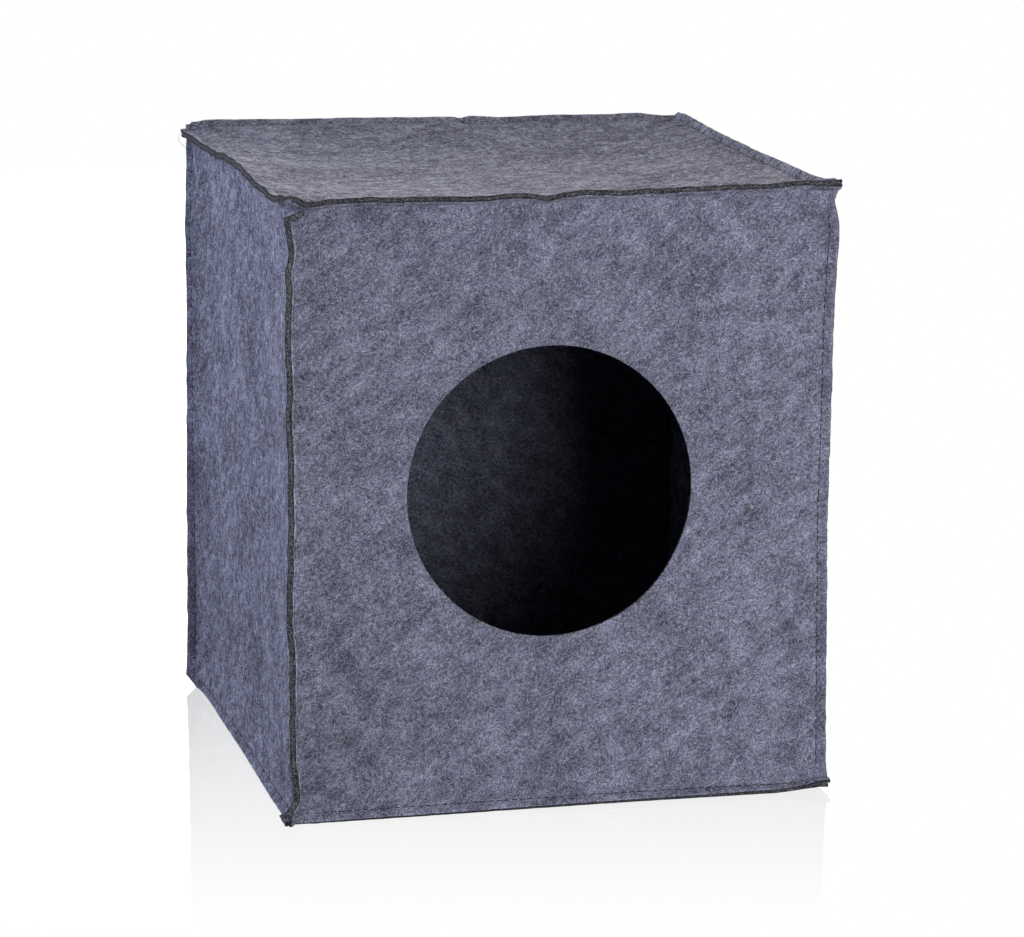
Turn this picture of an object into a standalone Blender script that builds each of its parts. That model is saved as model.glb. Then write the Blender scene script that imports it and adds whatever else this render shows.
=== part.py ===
"""Cat house of grey felt: six panels sewn edge to edge, seam allowances standing outside.

The front faces -Y, the floor is z = 0 and the origin is under the middle of the house.
Each panel is one sheet of felt. Its wrong face looks into the house, and along its
edges the sheet bends outwards, so that neighbouring panels meet wrong face to wrong
face in a standing seam, which a needle thread and a bobbin thread hold together.
"""

import math

import bmesh
import bpy
from mathutils import Matrix, Vector

# Driving dimensions, in metres
SEAM_WIDTH = 0.330  # between the left and the right seam planes
SEAM_DEPTH = 0.330  # between the front and the back seam planes
SEAM_HEIGHT = 0.370  # from the lower stitch line to the top seam plane
FELT = 0.002  # thickness of the felt
SEAM_ALLOWANCE = 0.0065  # from a stitch line to the cut edge
STITCH_EASE = 0.001  # from the bend's inner corner to the stitch line
LAYER_GAP = 0.0003  # between the two layers of a seam
ENTRANCE_DIAMETER = 0.178
ENTRANCE_SHIFT = -0.007  # to the left of the front panel's middle
ENTRANCE_RAISE = 0.006  # above the middle of the seam height
TOP_SAG = 0.012  # how far the roof hangs in its middle
FLOOR_RAMP = 0.055  # width of the floor's slope, from the seam down to the ground
THREAD = 0.0008  # diameter of both threads
THREAD_GAP = 0.0003  # from a thread to the felt
SEAM_END = 0.009  # from a seam's end to the thread's first hole
THREAD_TAIL = 0.003  # what is left of the needle thread past its last hole
CUT_REACH = 0.010  # how far a cut runs past the felt, to either side
WELD_DISTANCE = 1e-6  # between points that are one and the same

# Fineness of the curved shapes
ENTRANCE_STEPS = 96
SAG_STEPS = 12
RAMP_STEPS = 5
HOLE_STEPS = 8
BEND_STEPS = 3
THREAD_ROUNDNESS = 1

STANDING = math.radians(45)  # a seam that stands on the corner's bisector
TURNED = math.radians(90)  # the floor's edge, turned down against the walls
STRAIGHT = 0.0  # a wall's lower edge, which runs on down to the ground

FELT_GREY = (0.165, 0.170, 0.215, 1.0)
THREAD_GREY = (0.030, 0.030, 0.040, 1.0)


def allowance_length(turn):
    """Length of a seam allowance on the wrong face, from its bend to the cut edge."""
    return SEAM_ALLOWANCE + FELT * math.tan(turn / 2) + STITCH_EASE


# Sizes that follow
LAYER_SHIFT = LAYER_GAP * math.cos(STANDING)  # a layer's share of the gap, along a panel
FLOOR_RISE = allowance_length(TURNED)  # wrong face of the floor, at its seams
FLOOR_DROP = FLOOR_RISE - FELT  # from there to where the floor lies on the ground
ROOF_HEIGHT = SEAM_ALLOWANCE + SEAM_HEIGHT
WALL_MIDDLE = ROOF_HEIGHT / 2
ENTRANCE_HEIGHT = SEAM_ALLOWANCE + SEAM_HEIGHT / 2 + ENTRANCE_RAISE
HALF_WIDTH = SEAM_WIDTH / 2
HALF_DEPTH = SEAM_DEPTH / 2
THREAD_RADIUS = THREAD / 2
HOLE_RADIUS = THREAD_RADIUS + THREAD_GAP
THREAD_HEIGHT = LAYER_GAP / 2 + FELT + THREAD_GAP + THREAD_RADIUS
THREAD_TURN = 2 * THREAD_RADIUS  # radius of the thread's turn into a hole


class Edge:
    """One edge of a panel: where its wrong face bends, and by what angle."""

    def __init__(self, reach, turn):
        self.reach = reach
        self.turn = turn

    def bend(self, layer):
        """(distance from the panel's middle, height) of the bend, on a face of the sheet."""
        return self.reach - layer * math.tan(self.turn / 2), layer

    def tip(self, layer):
        """The same for the cut edge."""
        length = allowance_length(self.turn)
        across = length * math.cos(self.turn) - layer * math.sin(self.turn)
        return self.reach + across, length * math.sin(self.turn) + layer * math.cos(self.turn)


def clear_scene():
    for obj in list(bpy.data.objects):
        bpy.data.objects.remove(obj, do_unlink=True)


def make_material(name, colour, roughness):
    material = bpy.data.materials.new(name)
    material.use_nodes = True
    shader = material.node_tree.nodes["Principled BSDF"]
    shader.inputs["Base Color"].default_value = colour
    shader.inputs["Roughness"].default_value = roughness
    shader.inputs["Metallic"].default_value = 0.0
    return material


def add_object(name, data, material, matrix):
    obj = bpy.data.objects.new(name, data)
    obj.matrix_world = matrix
    data.materials.append(material)
    bpy.context.scene.collection.objects.link(obj)
    return obj


def axes_matrix(origin, first, second, third):
    """A frame with these axes as its own x, y and z."""
    matrix = Matrix((first, second, third)).transposed().to_4x4()
    matrix.translation = Vector(origin)
    return matrix


def stations(low, high, inner, layer):
    """(distance, height) across a panel on one face: edge, bend, inner points, bend, edge."""
    low_side = [(-distance, height) for distance, height in (low.tip(layer), low.bend(layer))]
    high_side = [high.bend(layer), high.tip(layer)]
    return low_side + [(distance, layer) for distance in inner] + high_side


def panel_mesh(name, edges, inner, dish):
    """A sheet of felt. edges are its low-u, high-u, low-v and high-v edges, inner the points
    between the bends in u and in v, and dish(u, v) the height of its face off the flat."""
    bm = bmesh.new()
    faces_of_sheet = []
    for layer in (0.0, FELT):
        across = stations(edges[0], edges[1], inner[0], layer)
        along = stations(edges[2], edges[3], inner[1], layer)
        rows = []
        for v, height_v in along:
            row = []
            for u, height_u in across:
                height = max(height_u, height_v)
                row.append(bm.verts.new((u, v, height + dish(u, v))))
            rows.append(row)
        faces_of_sheet.append(rows)
    for rows in faces_of_sheet:
        add_grid(bm, rows)
    add_rim(bm, faces_of_sheet[0], faces_of_sheet[1])
    bmesh.ops.remove_doubles(bm, verts=bm.verts, dist=WELD_DISTANCE)
    bmesh.ops.recalc_face_normals(bm, faces=bm.faces)
    mesh = bpy.data.meshes.new(name)
    bm.to_mesh(mesh)
    bm.free()
    return mesh


def add_grid(bm, rows):
    """Faces between rows of points. A corner square is halved along the mitre of its edges."""
    last_row = len(rows) - 2
    last_column = len(rows[0]) - 2
    for j in range(len(rows) - 1):
        for i in range(len(rows[0]) - 1):
            low = (rows[j][i], rows[j][i + 1])
            high = (rows[j + 1][i], rows[j + 1][i + 1])
            if j in (0, last_row) and i in (0, last_column):
                if (i == 0) == (j == 0):
                    bm.faces.new((low[0], low[1], high[1]))
                    bm.faces.new((low[0], high[1], high[0]))
                else:
                    bm.faces.new((low[0], low[1], high[0]))
                    bm.faces.new((low[1], high[1], high[0]))
            else:
                bm.faces.new((low[0], low[1], high[1], high[0]))


def rim_points(rows):
    left = [row[0] for row in rows]
    right = [row[-1] for row in rows]
    return rows[0][:-1] + right[:-1] + rows[-1][:0:-1] + left[:0:-1]


def add_rim(bm, wrong_rows, right_rows):
    """The cut edge of the felt, between its two faces."""
    wrong = rim_points(wrong_rows)
    right = rim_points(right_rows)
    for k, point in enumerate(wrong):
        following = (k + 1) % len(wrong)
        bm.faces.new((point, wrong[following], right[following], right[k]))


def flat(u, v):
    return 0.0


def roof_sag(u, v):
    """The roof hangs a little between its seams."""
    rise_u = max(0.0, 1 - (u / roof_reach(HALF_WIDTH)) ** 2)
    rise_v = max(0.0, 1 - (v / roof_reach(HALF_DEPTH)) ** 2)
    return -TOP_SAG * rise_u * rise_v


def floor_drop(u, v):
    """The floor slopes down from its seams and lies on the ground in its middle."""
    share = 1.0
    for distance, half in ((u, HALF_WIDTH), (v, HALF_DEPTH)):
        x = min(1.0, max(0.0, (floor_reach(half) - abs(distance)) / FLOOR_RAMP))
        share *= x * x * (3 - 2 * x)
    return FLOOR_DROP * share


def roof_reach(half):
    return half - LAYER_SHIFT


def floor_reach(half):
    return half - LAYER_GAP


def sag_points(half):
    reach = roof_reach(half)
    return [reach * (2 * k / SAG_STEPS - 1) for k in range(1, SAG_STEPS)]


def ramp_points(half):
    reach = floor_reach(half)
    rising = [reach - FLOOR_RAMP * k / RAMP_STEPS for k in range(1, RAMP_STEPS + 1)]
    return [-distance for distance in rising] + rising[::-1]


def wall_edges(half):
    """Edges of a wall: two standing seams at its sides, its foot, and a standing seam above."""
    side = Edge(half - LAYER_SHIFT, STANDING)
    foot = Edge(WALL_MIDDLE - allowance_length(STRAIGHT), STRAIGHT)
    head = Edge(ROOF_HEIGHT - WALL_MIDDLE - LAYER_SHIFT, STANDING)
    return side, side, foot, head


def cut_with(obj, cutter, name):
    cutter.hide_render = True
    cutter.display_type = "WIRE"
    modifier = obj.modifiers.new(name, "BOOLEAN")
    modifier.operation = "DIFFERENCE"
    modifier.solver = "EXACT"
    modifier.object = cutter


def add_cylinder(bm, matrix, radius, length, steps):
    bmesh.ops.create_cone(
        bm, cap_ends=True, segments=steps, radius1=radius, radius2=radius, depth=length, matrix=matrix
    )


def make_cutter(name, cylinders, steps, material):
    """A helper of closed cylinders, each given as (frame along its axis, radius, length)."""
    bm = bmesh.new()
    for matrix, radius, length in cylinders:
        add_cylinder(bm, matrix, radius, length, steps)
    mesh = bpy.data.meshes.new(name)
    bm.to_mesh(mesh)
    bm.free()
    return add_object(name, mesh, material, Matrix.Identity(4))


class Seam:
    """A seam's own frame: along the seam, out to the cut edges, and up on the needle's side."""

    def __init__(self, name, panels, middle, along, outwards, length):
        self.name = name
        self.panels = panels
        self.along = Vector(along)
        self.outwards = Vector(outwards).normalized()
        self.needle_side = self.along.cross(self.outwards)
        self.middle = Vector(middle)
        self.half = length / 2 - SEAM_END

    def frame(self):
        return axes_matrix(self.middle, self.along, self.outwards, self.needle_side)

    def hole_frames(self):
        for end in (-self.half, self.half):
            yield self.frame() @ Matrix.Translation((end, 0, 0))


def standing_offset():
    """From the corner of two seam planes out to the stitch line of a standing seam."""
    return allowance_length(STANDING) - SEAM_ALLOWANCE - LAYER_GAP / 2


def list_seams():
    """The twelve seams. The signs say on which side of the house each one lies."""
    seams = []
    depths = (("front", -1), ("back", 1))
    widths = (("left", -1), ("right", 1))
    offset = standing_offset()
    for depth_name, depth in depths:
        for width_name, width in widths:
            outwards = Vector((width, depth, 0)).normalized()
            corner = Vector((width * HALF_WIDTH, depth * HALF_DEPTH, WALL_MIDDLE))
            seams.append(
                Seam(
                    f"{depth_name}_{width_name}",
                    (depth_name, width_name),
                    corner + outwards * offset,
                    (0, 0, width * depth),
                    outwards,
                    ROOF_HEIGHT,
                )
            )
    for wall, x, y, length in (
        ("front", 0, -1, SEAM_WIDTH),
        ("back", 0, 1, SEAM_WIDTH),
        ("left", -1, 0, SEAM_DEPTH),
        ("right", 1, 0, SEAM_DEPTH),
    ):
        along = (y, -x, 0)
        outwards = Vector((x, y, 1)).normalized()
        corner = Vector((x * HALF_WIDTH, y * HALF_DEPTH, ROOF_HEIGHT))
        seams.append(
            Seam(f"top_{wall}", ("top", wall), corner + outwards * offset, along, outwards, length)
        )
        inset = LAYER_GAP / 2
        foot = Vector((x * (HALF_WIDTH - inset), y * (HALF_DEPTH - inset), SEAM_ALLOWANCE))
        seams.append(
            Seam(f"bottom_{wall}", ("bottom", wall), foot, (-y, x, 0), (0, 0, -1), length)
        )
    return seams


def turn_points(corner, start, end):
    """Points of a rounded turn at corner, from the direction of start to that of end."""
    corner = Vector(corner)
    incoming = (Vector(start) - corner).normalized() * THREAD_TURN
    leaving = (Vector(end) - corner).normalized() * THREAD_TURN
    centre = corner + incoming + leaving
    points = []
    for k in range(BEND_STEPS + 1):
        angle = math.pi / 2 * k / BEND_STEPS
        points.append(centre - leaving * math.cos(angle) - incoming * math.sin(angle))
    return points


def needle_route(half):
    """In by a tail on the bobbin's side, through both layers, along the seam and back."""
    corners = [
        (-half - THREAD_TAIL, 0, -THREAD_HEIGHT),
        (-half, 0, -THREAD_HEIGHT),
        (-half, 0, THREAD_HEIGHT),
        (half, 0, THREAD_HEIGHT),
        (half, 0, -THREAD_HEIGHT),
        (half + THREAD_TAIL, 0, -THREAD_HEIGHT),
    ]
    route = [Vector(corners[0])]
    for before, corner, after in zip(corners, corners[1:], corners[2:]):
        route += turn_points(corner, before, after)
    return route + [Vector(corners[-1])]


def bobbin_route(half):
    """Along the other side of the seam, between the needle thread's two legs."""
    end = half - 2 * THREAD_RADIUS - THREAD_GAP
    return [Vector((-end, 0, -THREAD_HEIGHT)), Vector((end, 0, -THREAD_HEIGHT))]


def add_thread(name, route, matrix, material):
    curve = bpy.data.curves.new(name, "CURVE")
    curve.dimensions = "3D"
    curve.bevel_depth = THREAD_RADIUS
    curve.bevel_resolution = THREAD_ROUNDNESS
    curve.use_fill_caps = True
    spline = curve.splines.new("POLY")
    spline.points.add(len(route) - 1)
    for point, place in zip(spline.points, route):
        point.co = (*place, 1.0)
    add_object(name, curve, material, matrix)


def add_panels(felt):
    """The four walls, the roof and the floor, by name."""
    across = wall_edges(HALF_WIDTH)
    along = wall_edges(HALF_DEPTH)
    roof = [Edge(roof_reach(half), STANDING) for half in (HALF_WIDTH, HALF_DEPTH)]
    floor = [Edge(floor_reach(half), TURNED) for half in (HALF_WIDTH, HALF_DEPTH)]
    up = (0, 0, 1)
    plans = {
        "front": ((0, -HALF_DEPTH, WALL_MIDDLE), (1, 0, 0), up, (0, -1, 0), across, ([], []), flat),
        "back": ((0, HALF_DEPTH, WALL_MIDDLE), (-1, 0, 0), up, (0, 1, 0), across, ([], []), flat),
        "left": ((-HALF_WIDTH, 0, WALL_MIDDLE), (0, -1, 0), up, (-1, 0, 0), along, ([], []), flat),
        "right": ((HALF_WIDTH, 0, WALL_MIDDLE), (0, 1, 0), up, (1, 0, 0), along, ([], []), flat),
        "top": (
            (0, 0, ROOF_HEIGHT),
            (1, 0, 0),
            (0, 1, 0),
            up,
            (roof[0], roof[0], roof[1], roof[1]),
            (sag_points(HALF_WIDTH), sag_points(HALF_DEPTH)),
            roof_sag,
        ),
        "bottom": (
            (0, 0, FLOOR_RISE),
            (-1, 0, 0),
            (0, 1, 0),
            (0, 0, -1),
            (floor[0], floor[0], floor[1], floor[1]),
            (ramp_points(HALF_WIDTH), ramp_points(HALF_DEPTH)),
            floor_drop,
        ),
    }
    panels = {}
    for name, (origin, u_axis, v_axis, out_axis, edges, inner, dish) in plans.items():
        mesh = panel_mesh(f"{name}_panel", edges, inner, dish)
        matrix = axes_matrix(origin, u_axis, v_axis, out_axis)
        panels[name] = add_object(f"{name}_panel", mesh, felt, matrix)
    return panels


def cut_entrance(front, felt):
    tilt = Matrix.Rotation(math.radians(90), 4, "X")
    place = Matrix.Translation((ENTRANCE_SHIFT, -HALF_DEPTH, ENTRANCE_HEIGHT))
    cylinder = (place @ tilt, ENTRANCE_DIAMETER / 2, 2 * (FELT + CUT_REACH))
    cutter = make_cutter("entrance_cutter", [cylinder], ENTRANCE_STEPS, felt)
    cut_with(front, cutter, "Entrance")


def cut_needle_holes(panels, seams, felt):
    """Each panel gets the two thread holes of each of its four seams."""
    length = 2 * THREAD_HEIGHT
    for name, panel in panels.items():
        frames = [frame for seam in seams if name in seam.panels for frame in seam.hole_frames()]
        cylinders = [(frame, HOLE_RADIUS, length) for frame in frames]
        cutter = make_cutter(f"{name}_hole_cutter", cylinders, HOLE_STEPS, felt)
        cut_with(panel, cutter, "Thread holes")


def build_house():
    clear_scene()
    felt = make_material("felt", FELT_GREY, 0.95)
    thread = make_material("thread", THREAD_GREY, 0.6)
    panels = add_panels(felt)
    seams = list_seams()
    cut_entrance(panels["front"], felt)
    cut_needle_holes(panels, seams, felt)
    for seam in seams:
        add_thread(f"needle_thread_{seam.name}", needle_route(seam.half), seam.frame(), thread)
        add_thread(f"bobbin_thread_{seam.name}", bobbin_route(seam.half), seam.frame(), thread)


build_house()
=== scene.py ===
"""Looks of the cat house: six panels of grey needled felt, sewn with their cut edges outside.

Each panel is one sheet with a wrong face that looks into the house and a right face outside.
The sheets follow the house's twelve seams, which sway, lean and pucker as hand-fed felt does.
All sizes are in metres, in the frame of the construction: the front faces -Y, the floor is z = 0.
"""

import math

import bmesh
import bpy
import numpy as np
from mathutils import Matrix, Vector


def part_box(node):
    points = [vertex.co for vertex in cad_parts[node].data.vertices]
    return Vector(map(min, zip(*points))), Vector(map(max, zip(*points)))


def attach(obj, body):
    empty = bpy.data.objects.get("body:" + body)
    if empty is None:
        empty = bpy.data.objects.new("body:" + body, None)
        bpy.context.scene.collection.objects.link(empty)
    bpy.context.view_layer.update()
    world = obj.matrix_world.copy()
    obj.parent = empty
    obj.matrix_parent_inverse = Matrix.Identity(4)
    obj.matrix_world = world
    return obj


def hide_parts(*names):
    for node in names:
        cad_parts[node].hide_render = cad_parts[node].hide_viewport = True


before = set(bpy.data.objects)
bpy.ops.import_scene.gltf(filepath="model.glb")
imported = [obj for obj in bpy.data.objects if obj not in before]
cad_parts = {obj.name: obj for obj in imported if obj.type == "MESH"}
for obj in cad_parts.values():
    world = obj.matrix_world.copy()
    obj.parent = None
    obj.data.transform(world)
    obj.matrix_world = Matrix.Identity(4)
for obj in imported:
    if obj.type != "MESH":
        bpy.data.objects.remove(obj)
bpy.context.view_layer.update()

# Felt and sewing
FELT = 0.0019  # thickness of a panel
USUAL_PRESSED_FELT = 0.0014  # thickness of each layer of a seam
PRESSED_FELT = {"front_left": 0.0018, "top_left": 0.0019, "top_front": 0.0016}  # seams where it differs
LOOSE_EDGE = 0.0021  # thickness where the felt past a seam's end isn't sewn
HALF_GAP = 0.00006  # half of what is left between two layers
SEAM_REACH = 0.0080  # from a seam's bend to the cut edges
SEAM_RINGS = (SEAM_REACH, 0.0061, 0.0041)  # rows of cells' corners on the felt past the bend
STITCH_LINE = 0.0022  # from the bend to the stitches
STITCH_SINK = 0.00055  # how deep the stitch line is drawn into the felt
HOLE_SINK = 0.0002  # how much deeper it goes at the needle's holes
STITCH = 0.005  # from one needle hole to the next
THREAD = 0.00065  # diameter of the thread
THREAD_HEIGHT = 0.42  # how far the thread's middle lies above the stitch line, in diameters
STITCH_DIP = 0.0008  # how far the ends of a stitch go into the felt
STITCH_ARCH = 1.2  # height of the top of its bend's frame, in dips
STITCH_HALF = 0.46  # half of a stitch's run, against its length
STITCH_SPREAD = (0.92, 1.04)  # least and most length of a stitch, against the usual
THREAD_SIDES = 6
STITCH_SIZES = (("Thread diameter", THREAD), ("Stitch length", STITCH), ("End dip", STITCH_DIP))
SEAM_END = 0.009  # from a seam's end to its first stitch
CUT_BULGE = 0.0002  # how far the middle of a cut edge stands out
CUT_ROUGHNESS = 0.00018  # unevenness of a cut edge
PUCKER = 0.0011  # height of the small folds at a panel's corners
PUCKER_REACHES = (0.016, 0.028)  # least and most, from the corner to where they are highest
GATHER = 0.00026  # height of the small folds beside a seam
GATHER_WAVES = (0.014, 0.023, 0.037)
GATHER_SLANT = 0.7
GATHER_CALM = 0.03  # from a corner to where they are whole
GATHER_RISE = 0.003  # from the seam to where they stand out
GATHER_REACH = 0.018
SLOW_WAVES = (0.052, 0.075, 0.11, 0.16, 0.23)  # lengths of the slow waves of a sheet
UNEVENNESS = 0.0028  # their height, against their length
SWAY_REACH = 0.050  # how far into a panel the sway of its seams is felt
RIPPLE_REACH = 0.010  # the same for their small waves
UNEVEN_REACH = 0.020  # from a seam to where the slow waves are nearly whole
FLOOR_RISE = 0.055  # the bottom panel rises to its seams within this run
TAB_BEND = 0.0035  # run in which an unsewn tab leaves its seam
TAB_SPLAY = 0.05  # how far such a tab stands off the next panel, against its length
PULL_REACH = 0.008  # how far a pull on a corner is felt
LEAST_HEIGHT = 0.0002  # nothing of the house is lower

# Seams that differ from the others
# Along bottom_front the darker cut edge is painted shadow where the house's foot meets the floor
EDGE_SHADES = {"top_front": 0.48, "top_left": 0.3, "bottom_front": 0.55}  # darker cut edges
SUNK_SEAMS = ("top_front", "top_left", "top_back")  # the thread has sunk out of sight
SUNK_SHARE = 0.4  # depth of the stitch line there, against the usual
SUNK_THREAD_HEIGHT = -0.2

# The grid of a panel
CELL = STITCH / 2
FINE_RUN = 2 * STITCH  # this near to a corner the cells are half as wide
NO_LENGTH = 1e-12
SAME_PLACE = 1e-9
ON_LINE = 1e-6
INLAND = 0.03  # a cut edge farther in than this is the entrance's
PATTERN_SHIFT = np.array([0.61, 0.83])  # from one panel's cloth to the next one's
SHARP_ANGLE = math.radians(58)
LEAST_TURN = 0.03  # cells that turn less than this count as one plane
LONGEST_MITRE = 2.2  # a face's longest step at a fold, in thicknesses

# Colours as linear red, green and blue, along their ramps of tone
FELT_COLOURS = (
    (0.0, (0.030, 0.032, 0.051)),
    (0.30, (0.085, 0.087, 0.127)),
    (0.55, (0.168, 0.171, 0.246)),
    (0.80, (0.275, 0.280, 0.401)),
    (1.0, (0.400, 0.405, 0.561)),
)
EDGE_COLOURS = ((0.0, (0.012, 0.012, 0.015)), (0.5, (0.061, 0.061, 0.072)), (1.0, (0.185, 0.185, 0.21)))
THREAD_COLOURS = ((0.3, (0.006, 0.006, 0.010)), (0.7, (0.028, 0.029, 0.042)))
WARM_TINT = (1.025, 1.012, 0.95, 1.0)  # of the felt's warmer patches
FELT_LIFT = 0.55  # the felt's middle tone
FELT_CONTRAST = 1.5

# The house
HALF_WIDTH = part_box("right_panel")[0].x  # wrong faces of the side walls
HALF_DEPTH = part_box("back_panel")[0].y
ROOF = 0.3765  # wrong face of the roof at its seams
FOOT = 0.0078  # bend of the lower seams
ENTRANCE_RADIUS = 0.0897
ENTRANCE_MIDDLE = (-0.0064, 0.1982)  # x and z
ENTRANCE_HALF = ENTRANCE_RADIUS * math.sqrt(math.pi) / 2  # half of the square of cells that it takes
ENTRANCE_SETTLED = 1.72 * ENTRANCE_HALF  # the cells outside this square aren't moved
WIDTH, DEPTH, HEIGHT = 2 * HALF_WIDTH, 2 * HALF_DEPTH, ROOF - FOOT
FLAT_WIDTH, FLAT_WALL_HEIGHT = 0.346, 0.386  # of a panel as cut, with its allowances

# The camera, fitted to the house's corners
CAMERA_PLACE = (-0.6867, -2.7326, 0.7866)
CAMERA_YAW = math.radians(14.312)  # to the right of +Y
CAMERA_PITCH = math.radians(12.207)  # down
CAMERA_ROLL = math.radians(0.265)
SENSOR = 36.0  # millimetres
FOCAL_SHARE = 4.3916  # focal length, in widths of the picture
CAMERA_BACK = 2.8175  # from the camera to the middle of the house, on the ground and along its view

# The floor's mirroring
MIRROR_START = 2.411  # begins at this distance in front of the camera
MIRROR_RUN = 0.493  # and is whole this much farther on
MIRROR_CURVE = 1.25
MIRROR_SHARE = 0.342
FLOOR_HALF = 4.0

# The soft boxes: degrees to the right of the front, degrees up, distance from the house, width and
# height, strength, and colour
SOFT_BOXES = {
    "key_box": (21, 5, 2.4, (2.1, 1.0), 0.905, (0.98, 1.0, 0.99)),
    "left_box": (-88, 26, 1.5, (1.0, 1.0), 0.585, (0.82, 0.875, 1.0)),
    "right_box": (100, 8, 2.4, (1.2, 1.2), 0.50, (1, 1, 1)),
    "back_box": (180, 8, 2.5, (1.7, 1.2), 0.40, (1, 1, 1)),
    "roof_box": (0, 70, 0.58, (0.7, 0.15), 0.24, (1.0, 0.91, 0.66)),
}
WORLD_LIGHT = 0.03  # what the white surroundings give from the side
WORLD_SLOPE = 0.06  # how much more from straight above

MM = 0.001
FRONT, BACK = Vector((0, -1, 0)), Vector((0, 1, 0))
LEFT, RIGHT = Vector((-1, 0, 0)), Vector((1, 0, 0))
UP, DOWN = Vector((0, 0, 1)), Vector((0, 0, -1))

# How far each corner of the house is off the true box, in millimetres
CORNER_SHIFTS = {
    "front_left_top": (0.0, 0.0, 1.2),
    "front_right_top": (-2.5, 0.0, 0.5),
    "front_left_foot": (0.0, 0.0, 0.0),
    "front_right_foot": (-1.5, 0.0, -2.5),
    "back_left_top": (1.2, 0.0, -1.0),
    "back_right_top": (0.0, 0.0, -2.0),
    "back_left_foot": (-0.6, 0.0, 0.0),
    "back_right_foot": (0.0, 0.0, 0.0),
}

# How far the sewing pulls the tips of some corners further, in millimetres
CORNER_PULLS = {
    "front_left_foot": (-2.0, 0.0, -0.3),
    "front_right_foot": (0.0, 0.0, 1.0),
    "front_left_top": (0.0, 0.0, -1.3),
    "front_right_top": (1.6, 0.0, 0.0),
}

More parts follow.
